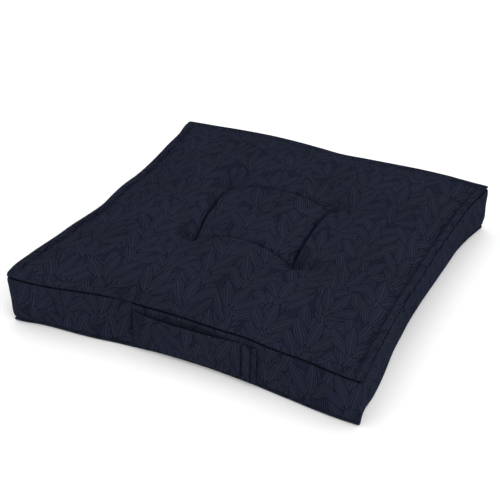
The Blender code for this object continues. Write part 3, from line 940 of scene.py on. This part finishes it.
def edge_filling(name, plan_of, inset, height, radius):
    """The roll of wadding inside the edge of a panel, once round it."""
    share = np.linspace(-1, 1, 81)[:-1]
    reach = HALF - inset
    x = np.concatenate([share, np.ones(80), -share, -np.ones(80)]) * reach
    y = np.concatenate([-np.ones(80), share, np.ones(80), -share]) * reach
    soften = 0.5 * ease((np.minimum(np.abs(x), np.abs(y)) / reach - 0.94) / 0.06)
    x, y = plan_of(x * (1 - 0.008 * soften), y * (1 - 0.008 * soften))
    middle = np.stack([x, y, np.full_like(x, height)], -1)
    if height > TOP_SEAM / 2:
        middle = lifted(middle)
    along = np.roll(middle, -1, 0) - np.roll(middle, 1, 0)
    out = np.stack([along[:, 1], -along[:, 0], np.zeros(len(x))], -1)
    out /= np.linalg.norm(out, axis=1, keepdims=True)
    up = np.broadcast_to([0, 0, 1.0], out.shape)
    return closed_tube(name, rings_round(middle, out, up, radius, TUBE_SIDES), WADDING_LOOK)


# ---- the lower panel


def lower_panel():
    lines = lower_lines()
    a, b = np.meshgrid(lines, lines)
    fa, fb, tip = folded(a, b)
    x, y = lower_plan(fa, fb)
    far, turn = from_tuft(a, b)
    dimple = 0.0098 * (1 - ease((far - 0.012) / 0.043))
    inside = 0.0035 * np.exp(-np.clip(tip - VALLEY, 0, 1) / 0.006)
    z = np.where(tip > VALLEY, inside + dimple, curve_at(tip, LOWER_ROLL))
    inner = ease((tip - VALLEY) / 0.02)
    pleats = np.sin(8 * turn) * ease((far - 0.010) / 0.010) * ease((0.045 - far) / 0.030)
    z = z + 0.0005 * (1 + lumps(a, b, 9, 0.09, 0.03)) * inner + 0.0004 * (1 + pleats) * inner * (far < 0.05)
    flat = np.stack([a, b], -1) + 3.0
    points = np.stack([x, y, np.maximum(z, 0.0001)], -1)
    return cloth_sheet("bottom_panel_cloth", points, flat, CLOTH_LOOK), lines, points


# ---- the boxing

LEFT_END, RIGHT_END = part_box("handle_left_tab")[0].x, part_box("handle_right_tab")[1].x
LEFT_TAB, RIGHT_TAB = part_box("handle_left_tab")[1].x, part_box("handle_right_tab")[0].x
GRIP_LEFT, GRIP_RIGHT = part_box("handle_grip")[0].x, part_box("handle_grip")[1].x
GRIP_MIDDLE = (GRIP_LEFT + GRIP_RIGHT) / 2

# Height, and how far the cloth's outer face lies inside the tip
BOXING_PROFILE = (
    (0.0058, 0.0016), (0.0064, 0.0004), (0.0076, -0.0005), (0.0105, -0.0009), (0.0160, -0.0008),
    (0.0240, -0.0005), (0.0345, -0.0003), (0.0450, -0.0004), (0.0530, -0.0007), (0.0590, -0.0010),
    (0.0625, -0.0011), (0.0645, -0.0008), (0.0654, 0.0000),
)
# Where the boxing turns down again into the crevice under the edge of the upper panel
CREVICE = (
    (0.0654, 0.0009), (0.0644, 0.0016), (0.0628, 0.0022), (0.0614, 0.0029), (0.0612, 0.0038),
    (0.0624, 0.0047), (0.0645, 0.0055), (0.0662, 0.0066), (0.0667, 0.0085),
)
BOXING_COLUMNS = 141
BOXING_CLOTH = 0.0009


def strap_room(x, z):
    """How far the boxing gives way behind the strap, so that the grip can be pressed back."""
    lift = strap_lean((z - STRAP_LOW) / (STRAP_HIGH - STRAP_LOW)) * flowing(x * 1000, STRAP_LIFT) / 1000
    left, right = (x - LEFT_TAB) / (GRIP_LEFT - LEFT_TAB), (RIGHT_TAB - x) / (RIGHT_TAB - GRIP_RIGHT)
    room = PRESS * np.clip(np.minimum(left, right), 0, 1) + 0.0004 - STRAP_CLEAR - lift
    return np.clip(room, 0, None) * ease((z - 0.0065) / 0.0025) * ease((0.0625 - z) / 0.004)


def boxing_depth(x, z, side):
    """How far the boxing lies in from its smooth shape: gathers at the seams and a slack face."""
    seed = 20 + SIDES[side]
    top = ease((z - 0.046) / 0.016) * ease((0.0655 - z) / 0.003)
    bottom = ease((0.032 - z) / 0.016) * ease((z - 0.006) / 0.004)
    depth = 0.0005 * seam_puckers(x, seed) * top + 0.0005 * seam_puckers(x, seed + 5) * bottom
    slack = 0.0009 * (lumps(x, z, seed + 9, 0.16, 0.05) - 0.6)
    if side == "front":
        flat = 0.8 * ease((x - LEFT_END + 0.002) / 0.008) * ease((RIGHT_END + 0.004 - x) / 0.008)
        slack = slack * (1 - flat)
    depth += slack * ease((z - 0.010) / 0.01) * ease((0.064 - z) / 0.01)
    corner = 0.0007 * np.exp(-((HALF - 0.004 - np.abs(x)) / 0.0035))
    if side == "front":
        hollow = ease((x - LEFT_END + 0.054) / 0.03) * ease((LEFT_END - 0.001 - x) / 0.010)
        depth += 0.0040 * bump(z, 0.0640, 0.0080) * hollow
        depth += 0.0058 * bump(x, LEFT_END - 0.0010, 0.010) * bump(z, 0.034, 0.034)
        depth += 0.0012 * bump(x, RIGHT_END + 0.004, 0.010) * bump(z, 0.035, 0.03)
        depth += strap_room(x, z)
    return depth + corner


def wall(z):
    """How far the smooth boxing lies inside the tip."""
    return curve_at(z, BOXING_PROFILE)


def side_points(x, z, inset, side):
    """Points beside one side's boxing; x runs along it and inset is how far inside the tip they lie."""
    share = x / HALF
    order = list(SIDES)
    quarters = SIDES[side]
    rise = np.clip(z / TOP_SEAM, 0, 1) ** 0.85

    def pull(which, at):
        return drawn_in(LOWER_PULLS, which, at) * (1 - rise) + drawn_in(UPPER_PULLS, which, at) * rise

    after, before = order[(quarters + 1) % 4], order[(quarters - 1) % 4]
    neighbour = np.where(share > 0, pull(after, -1.0), pull(before, 1.0))
    px = share * (HALF - inset - neighbour)
    py = pull(side, share) - HALF + inset
    turn = quarters * math.pi / 2
    c, s = round(math.cos(turn)), round(math.sin(turn))
    return lifted(np.stack([c * px - s * py, s * px + c * py, z], -1))


def boxing(side):
    share = np.linspace(-1, 1, BOXING_COLUMNS)
    x = HALF * np.sign(share) * (1 - (1 - np.abs(share)) ** 1.15)
    profile = np.array(BOXING_PROFILE + CREVICE)
    reach = np.concatenate([[0], np.cumsum(np.hypot(*np.diff(profile, axis=0).T))])
    low, high = 0.0030, reach[len(BOXING_PROFILE) - 1] - 0.0050
    parts = np.linspace(0, low, 5)[:-1], np.linspace(low, high, 19)[:-1], np.linspace(high, reach[-1], 30)
    row = np.concatenate(parts)
    x, height = np.meshgrid(x, flowing(row, np.stack([reach, profile[:, 0]], -1)))
    inset = flowing(row, np.stack([reach, profile[:, 1]], -1))[:, None] + boxing_depth(x, height, side)
    points = side_points(x, height, inset, side)
    flat = np.stack([x + 5.0 + SIDES[side], np.broadcast_to(row[:, None] + 5.0, x.shape)], -1)
    return cloth_sheet(f"{side}_boxing_cloth", points, flat, CLOTH_LOOK, thickness=BOXING_CLOTH)


# ---- the strap handle

STRAP_LOW, STRAP_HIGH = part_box("handle_grip")[0].z - 0.0015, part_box("handle_grip")[1].z + 0.0020
STRAP = 0.0024
# How far the strap stands off the boxing and how far it sags, in mm, along its length
STRAP_LIFT = (
    (-67, 0.2), (-60, 1.4), (-52, 2.7), (-38, 3.7), (-20, 4.2), (0, 4.2), (18, 3.9), (34, 3.1), (48, 2.1),
    (62, 1.2), (76, 0.6), (84, 0.3), (103, 0.2),
)
STRAP_SAG = (
    (-67, 0.2), (-55, 1.0), (-35, 2.0), (-10, 2.4), (20, 2.0), (45, 1.2), (68, 0.4), (84, 0), (103, 0),
)
LOW_EDGE_LIFT = 0.25  # the strap leans out, so its lower edge stands off less than its upper
STRAP_CLEAR = 0.0010  # from the boxing to the strap's back where it isn't lifted
PRESS = -frame["record"]["behaviour"]["joints"][0]["range_m"][0]  # how far the grip can be pressed back


def strap_lean(up):
    return LOW_EDGE_LIFT + (1 - LOW_EDGE_LIFT) * np.clip(up, 0, 1)


def strap_thickness(x):
    """Twice folded cloth, with the spare cloth pleated into the right tab."""
    start, end = RIGHT_TAB + 0.0015, RIGHT_TAB + 0.0130
    pleat = 0.0030 * ease((x - start) / 0.0010) * ease((end - x) / 0.0010)
    tuck = 0.0019 * (bump(x, start - 0.0006, 0.0016) + bump(x, end + 0.0008, 0.0016))
    return STRAP + pleat - tuck


def strap_spot(x, up, depth):
    """A point of the strap: up is 0 at its lower edge and 1 at its upper, depth is outwards from its back."""
    rest = STRAP_LOW + (STRAP_HIGH - STRAP_LOW) * up
    belly = 0.0014 * np.sin(math.pi * np.clip(up, 0, 1)) * bump(x, GRIP_MIDDLE - 0.01, 0.06)
    slack = 0.0004 * lumps(x, rest, 33, 0.07, 0.02)
    slack = slack * ease((x - LEFT_END) / 0.02) * ease((RIGHT_END - x) / 0.02)
    out = STRAP_CLEAR + strap_lean(up) * flowing(x * 1000, STRAP_LIFT) / 1000 + belly + slack + depth
    points = side_points(x, rest, wall(rest) - out, "front")
    points[..., 2] -= flowing(x * 1000, STRAP_SAG) / 1000 * (0.4 + 0.6 * up)
    points[..., 2] += 0.0005 * waves(x, 31, 0.06, 0.02)
    return points


def strap_ring():
    """The strap's cross section, once round, as (up, outwards share of the thickness)."""
    edge = 0.028
    turn = np.linspace(-math.pi / 2, math.pi / 2, 6)
    upper = [(1 - edge + edge * math.cos(t), 0.5 + 0.5 * math.sin(t)) for t in turn]
    lower = [(edge - edge * math.cos(t), 0.5 - 0.5 * math.sin(t)) for t in turn]
    middle = np.linspace(edge, 1 - edge, 14)[1:-1]
    back = [(up, 0.0) for up in middle]
    front = [(up, 1.0) for up in middle[::-1]]
    return back + upper + front + lower


def strap_half(name, x):
    ring = np.array(strap_ring())
    up, outward = ring[:, 0], ring[:, 1]
    columns = [strap_spot(np.full_like(up, place), up, strap_thickness(place) * outward) for place in x]
    points = np.array(columns)
    rows, count = points.shape[:2]
    sides = grid_corners(rows, count, wrap=True)
    row, column = tube_places(sides, count)
    round_it = np.linalg.norm(np.diff(points[rows // 2], axis=0, append=points[rows // 2][:1]), axis=1)
    reach = np.concatenate([[0], np.cumsum(round_it)])
    uv = np.stack([np.asarray(x)[row] + 9.0, reach[column] + 9.0], -1).reshape(-1, 2)
    faces = sides.tolist()
    caps = [list(range(count)), list(range(rows * count - 1, (rows - 1) * count - 1, -1))]
    flat = points.reshape(-1, 3)
    volume = np.einsum("ij,ij->i", flat[sides[:, 0]], np.cross(flat[sides[:, 1]], flat[sides[:, 2]])).sum()
    if volume < 0:
        faces = [face[::-1] for face in faces]
        uv = uv.reshape(-1, 4, 2)[:, ::-1].reshape(-1, 2)
    else:
        caps = [cap[::-1] for cap in caps]
    ends = [np.stack([flat[cap][:, 0], flat[cap][:, 2]], -1) + 9.0 for cap in caps]
    obj = make_object(name, flat, faces + caps, np.concatenate([uv, *ends]), CLOTH_LOOK)
    mark_caps_sharp(obj, len(faces))
    return obj


def mark_caps_sharp(obj, first):
    mesh = obj.data
    edges = {tuple(sorted(pair)) for face in list(mesh.polygons)[first:] for pair in face.edge_keys}
    for edge in mesh.edges:
        if tuple(sorted(edge.vertices)) in edges:
            edge.use_edge_sharp = True


def tab_stitches(name, start, end):
    """A box of stitches that holds a tab of the strap."""
    low, high, margin = 0.07, 0.93, 0.003
    left, right = start + margin, end - margin
    corners = [(left, low), (right, low), (right, high), (left, high), (left, low)]
    path = []
    for (x0, u0), (x1, u1) in zip(corners, corners[1:]):
        path += [(x0 + (x1 - x0) * t, u0 + (u1 - u0) * t) for t in np.linspace(0, 1, 14)[:-1]]
    path = np.array(path + [corners[0]])
    x, up = path[:, 0], path[:, 1]
    points = strap_spot(x, up, strap_thickness(x) + 0.0001)
    out = np.tile([0.0, -1.0, 0.0], (len(points), 1))
    return stitches(name, *running_stitches(points, out, 0.0032, 0.7), THREAD_LOOK, radius=0.0004)


# ---- the rear


CLOSING_PITCH, CLOSING_SLANT, CLOSING_REACH = 0.0055, 0.0030, 0.0016
LABEL_THICKNESS = 0.0005


def closing_stitches():
    """The slanting hand stitches that close the cover after filling."""
    low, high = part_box("closing_stitching")
    x = np.arange(low.x, high.x, CLOSING_PITCH)
    z = (low.z + high.z) / 2
    spots = []
    for shift, height in ((0.0, z - CLOSING_REACH), (CLOSING_SLANT, z + CLOSING_REACH)):
        across = -(x + shift)
        level = np.full_like(x, height)
        inset = wall(level) + boxing_depth(across, level, "rear") - 0.0003
        spots.append(side_points(across, level, inset, "rear"))
    out = np.tile([0.0, 1.0, 0.0], (len(x), 1))
    return stitches("closing_hand_stitches", *spots, out, THREAD_LOOK, radius=0.00055)


def care_label():
    low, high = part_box("care_label")
    columns, rows = np.linspace(low.x, high.x, 25), np.linspace(low.z, high.z, 21)
    x, z = np.meshgrid(-columns, rows)
    hang = (high.z - z) / (high.z - low.z)
    out = 0.0012 + 0.0022 * hang**2 + 0.0005 * np.sin(9 * hang + 60 * x) * hang
    points = side_points(x, z, wall(z) + boxing_depth(x, z, "rear") - out, "rear")
    flat = np.stack([x, z], -1)
    obj = sheet_between("care_label_tape", points, points - [0.0, LABEL_THICKNESS, 0.0], flat, LABEL_LOOK)
    return obj, (high.x - low.x, high.z - low.z)


# ---- the tufts


TWINE_RADIUS = 0.0008
STRAND_APART = 0.0015  # from the middle of a tuft to each of its strands
TWINE_END = 0.0050  # how far below the tuft's cloth the strands end
TWINE_LOOP = 0.0012  # how far the loop rises over the strands


def tuft_middles(number):
    """Where a tuft's twine starts above its button, and where it ends under the upper panel."""
    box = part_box(f"tuft_twine_{number}")
    right, rear = (-1, 1)[(number - 1) % 2], (-1, 1)[(number - 1) // 2]
    middle = (box[0] + box[1]) / 2
    x, y = upper_plan(np.array(right * TUFT_PLACE), np.array(rear * TUFT_PLACE))
    low = np.array([middle.x, middle.y, box[0].z])
    return low, np.array([float(x), float(y), TUFT_TOP - TWINE_END])


def tuft_twine(number):
    """Two strands of twine through the cushion, joined by a short loop at each end."""
    low, high = tuft_middles(number)
    across = np.array([STRAND_APART, 0, 0])
    strand = np.linspace(0, 1, 15)[:, None]
    bend = 0.0006 * np.sin(math.pi * strand)
    up = low + (high - low) * strand - across * (1 + bend / STRAND_APART)
    down = high + (low - high) * strand + across * (1 + bend / STRAND_APART)
    path = np.concatenate([up, [high + [0, 0, TWINE_LOOP]], down, [low]])
    before, after = np.roll(path, 1, 0), np.roll(path, -1, 0)
    along = (after - before) / np.linalg.norm(after - before, axis=1, keepdims=True)
    side = np.tile([0.0, 1.0, 0.0], (len(path), 1))
    points = rings_round(path, side, np.cross(along, side), TWINE_RADIUS, TUBE_SIDES)
    return closed_tube(f"tuft_twine_strands_{number}", points, TWINE_LOOK)


def tuft_loops(lines, points):
    """The short bar of twine that shows in the pit of each tuft."""
    starts, ends = [], []
    for right in (-1, 1):
        for rear in (-1, 1):
            column = int(np.argmin(np.abs(lines - right * TUFT_PLACE)))
            row = int(np.argmin(np.abs(lines - rear * TUFT_PLACE)))
            spot = points[row, column] + [0, 0, 0.0004]
            starts.append(spot - [0.0016, 0, 0])
            ends.append(spot + [0.0016, 0, 0])
    out = np.tile([0.0, 0.0, 1.0], (4, 1))
    return stitches("tuft_twine_loops", starts, ends, out, TWINE_LOOK, radius=0.0006)


# ---- putting it together


def place(obj, slot, *nodes, body="cushion"):
    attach(obj, body)
    if nodes:
        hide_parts(*nodes)
    return obj


def place_strap(obj, start, *nodes):
    """A half of the strap: its placement is baked into its mesh, and the CAD nodes it stands for are hidden.
    """
    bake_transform(obj)
    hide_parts(*nodes)


def strap_columns(points, step=0.0015):
    """Places along the strap, closer together round its pleat."""
    places = []
    for start, end in zip(points, points[1:]):
        count = max(2, round((end - start) / step))
        places += list(np.linspace(start, end, count + 1)[:-1])
    return places + [points[-1]]


def make_cushion():
    upper, over_lines, over_points = upper_panel()
    place(upper, "cover_cloth", "top_panel")
    over_row = edge_stitches("top_edge_stitches", over_lines, over_points, TOP_PITCH)
    place(over_row, "thread", "top_edge_stitching")
    over = wadding_layer("top_wadding_layer", over_lines, over_points, CORE_TOP + GAP, upper_plan)
    place(over, "wadding", "top_wadding")
    lower, under_lines, under_points = lower_panel()
    place(lower, "cover_cloth", "bottom_panel")
    under_row = edge_stitches("bottom_edge_stitches", under_lines, under_points, BOTTOM_PITCH)
    place(under_row, "thread", "bottom_edge_stitching")
    under = wadding_layer("bottom_wadding_layer", under_lines, under_points, CORE_BOTTOM - GAP, lower_plan)
    place(under, "wadding", "bottom_wadding")
    rolls = (
        edge_filling("top_edge_roll", upper_plan, 0.0072, TOP_SEAM - 0.0004, 0.0004),
        edge_filling("bottom_edge_roll", lower_plan, 0.0046, 0.0028, 0.0011),
    )
    place(rolls[0], "wadding", "top_edge_filler")
    place(rolls[1], "wadding", "bottom_edge_filler")
    sides = [place(boxing(side), "cover_cloth", f"{side}_boxing") for side in SIDES]
    place(tuft_loops(over_lines, over_points), "twine")
    for number in (1, 2, 3, 4):
        place(tuft_twine(number), "twine", f"tuft_twine_{number}")


def make_strap():
    left = strap_half("strap_left_half", strap_columns((LEFT_END, GRIP_MIDDLE)))
    right_places = strap_columns((GRIP_MIDDLE, RIGHT_TAB - 0.006), 0.0015)[:-1]
    right_places += strap_columns((RIGHT_TAB - 0.006, RIGHT_TAB + 0.017, RIGHT_END), 0.0005)
    right = strap_half("strap_right_half", right_places)
    place_strap(left, LEFT_TAB, "handle_left_tab", "handle_left_run", "handle_grip")
    place_strap(right, RIGHT_TAB, "handle_right_run", "handle_right_tab")
    place(tab_stitches("strap_left_stitches", LEFT_END, LEFT_TAB), "thread", "handle_left_stitching")
    past_pleat = tab_stitches("strap_right_stitches", RIGHT_TAB + 0.011, RIGHT_END)
    place(past_pleat, "thread", "handle_right_stitching")


def make_rear():
    place(closing_stitches(), "thread", "closing_stitching")
    label, size = care_label()
    place(label, "label", "care_label")


def dress_frame():
    """Finer materials for the CAD nodes that stay."""
    looks = {
        "foam_core": FOAM_LOOK,
        "handle_left_backing": CLOTH_LOOK,
        "handle_right_backing": CLOTH_LOOK,
    }
    for number in (1, 2, 3, 4):
        looks[f"tuft_button_{number}"] = BUTTON_LOOK
    for node, look in looks.items():
        for slot in frame["nodes"][node].material_slots:
            slot.material = look


# ---- stage


FLOOR_SIZE = 12.0
WORLD_STRENGTH = 1.12
KEY_POWER, TOP_POWER = 19, 6


def make_floor():
    corners = FLOOR_SIZE * np.array([(-1, -1, 0), (1, -1, 0), (1, 1, 0), (-1, 1, 0)])
    floor = make_object("floor", corners, [(0, 1, 2, 3)], corners[:, :2], floor_material())
    floor.location.z = CAD_BOX[0].z - 0.0002


def make_light(name, place, aim, size, power):
    data = bpy.data.lights.new(name, "AREA")
    data.energy, data.size = power, size
    lamp = bpy.data.objects.new(name, data)
    lamp.location = place
    lamp.rotation_euler = (Vector(aim) - Vector(place)).to_track_quat("-Z", "Y").to_euler()
    bpy.context.scene.collection.objects.link(lamp)


def make_world():
    world = bpy.data.worlds.new("studio")
    world.use_nodes = True
    world.node_tree.nodes["Background"].inputs["Color"].default_value = (1.0, 1.0, 1.0, 1.0)
    world.node_tree.nodes["Background"].inputs["Strength"].default_value = WORLD_STRENGTH
    bpy.context.scene.world = world


CAMERA_AZIMUTH = math.radians(26.0)
CAMERA_HEIGHT = math.radians(33.03)
CAMERA_ROLL = math.radians(0.086)
CAMERA_DISTANCE = 1.6346
CAMERA_AIM = Vector((-0.0044, -0.0285, 0.0500))
CAMERA_LENS = 84.23


def make_camera():
    data = bpy.data.cameras.new("camera")
    data.lens, data.sensor_width = CAMERA_LENS, 36.0
    camera = bpy.data.objects.new("camera", data)
    flat = math.cos(CAMERA_HEIGHT)
    right, ahead = math.sin(CAMERA_AZIMUTH), math.cos(CAMERA_AZIMUTH)
    back = Vector((right * flat, -ahead * flat, math.sin(CAMERA_HEIGHT)))
    camera.location = CAMERA_AIM + back * CAMERA_DISTANCE
    turn = (-back).to_track_quat("-Z", "Y").to_matrix().to_4x4() @ Matrix.Rotation(-CAMERA_ROLL, 4, "Z")
    camera.rotation_euler = turn.to_euler()
    bpy.context.scene.collection.objects.link(camera)
    bpy.context.scene.camera = camera


make_camera()
make_world()
make_floor()
make_light("key", (2.0, -1.4, 1.3), (0, 0, 0.05), 1.6, KEY_POWER)
make_light("top", (-0.2, 0.2, 2.6), (0, 0, 0.05), 2.2, TOP_POWER)
bpy.context.scene.view_settings.view_transform = "Standard"
make_cushion()
make_strap()
make_rear()
dress_frame()
